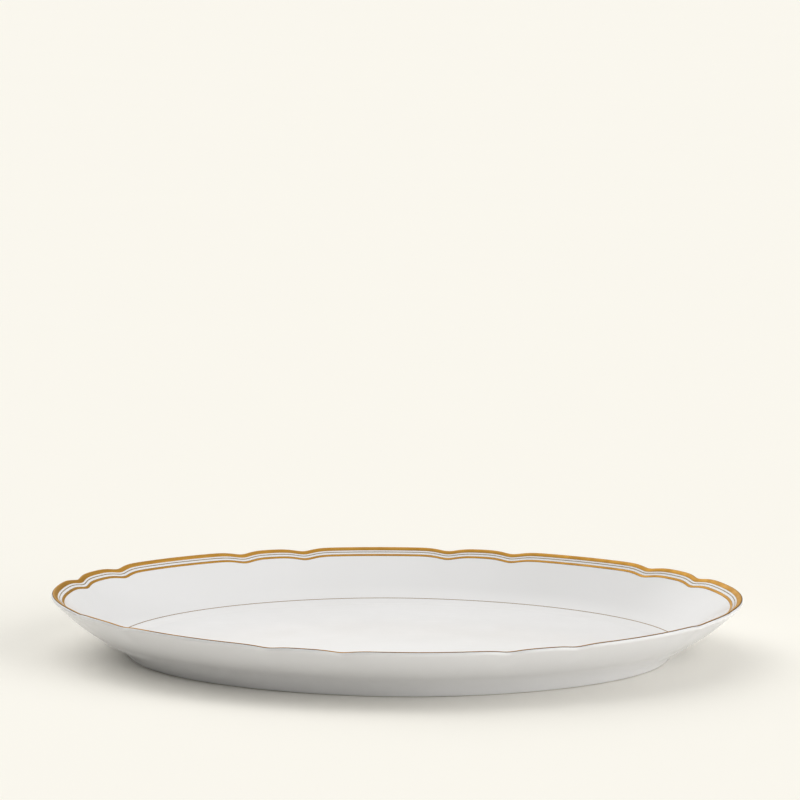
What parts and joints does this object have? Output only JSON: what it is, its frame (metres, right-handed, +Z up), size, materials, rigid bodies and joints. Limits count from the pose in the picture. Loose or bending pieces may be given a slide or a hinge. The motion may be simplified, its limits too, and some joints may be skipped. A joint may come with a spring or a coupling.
{
  "type": "oval serving platter",
  "caption": "Oval china serving platter: flat well, sloping flange, scalloped lip with gilt lines, low foot ring.",
  "frame": {"origin": "middle of the footprint, on the surface that the foot ring stands on", "axes": "+X along the length of the platter, +Y across its width, +Z up out of the well"},
  "size_m": [0.4024, 0.3194, 0.0342],
  "materials": {
    "bare_china": "matt, unglazed fired china",
    "glaze": "glossy clear glaze over white china",
    "gilding": "satin burnished gilding",
    "painted_line": "taupe overglaze enamel"
  },
  "bodies": {
    "root": {"china_body": "bare_china", "foot_ring": "bare_china", "outer_glaze": "glaze", "base_glaze": "glaze", "gilt_edge_band": "gilding", "painted_rim_line": "painted_line", "inner_gilt_line": "gilding", "well_gilt_line": "gilding"}
  },
  "joints": []
}
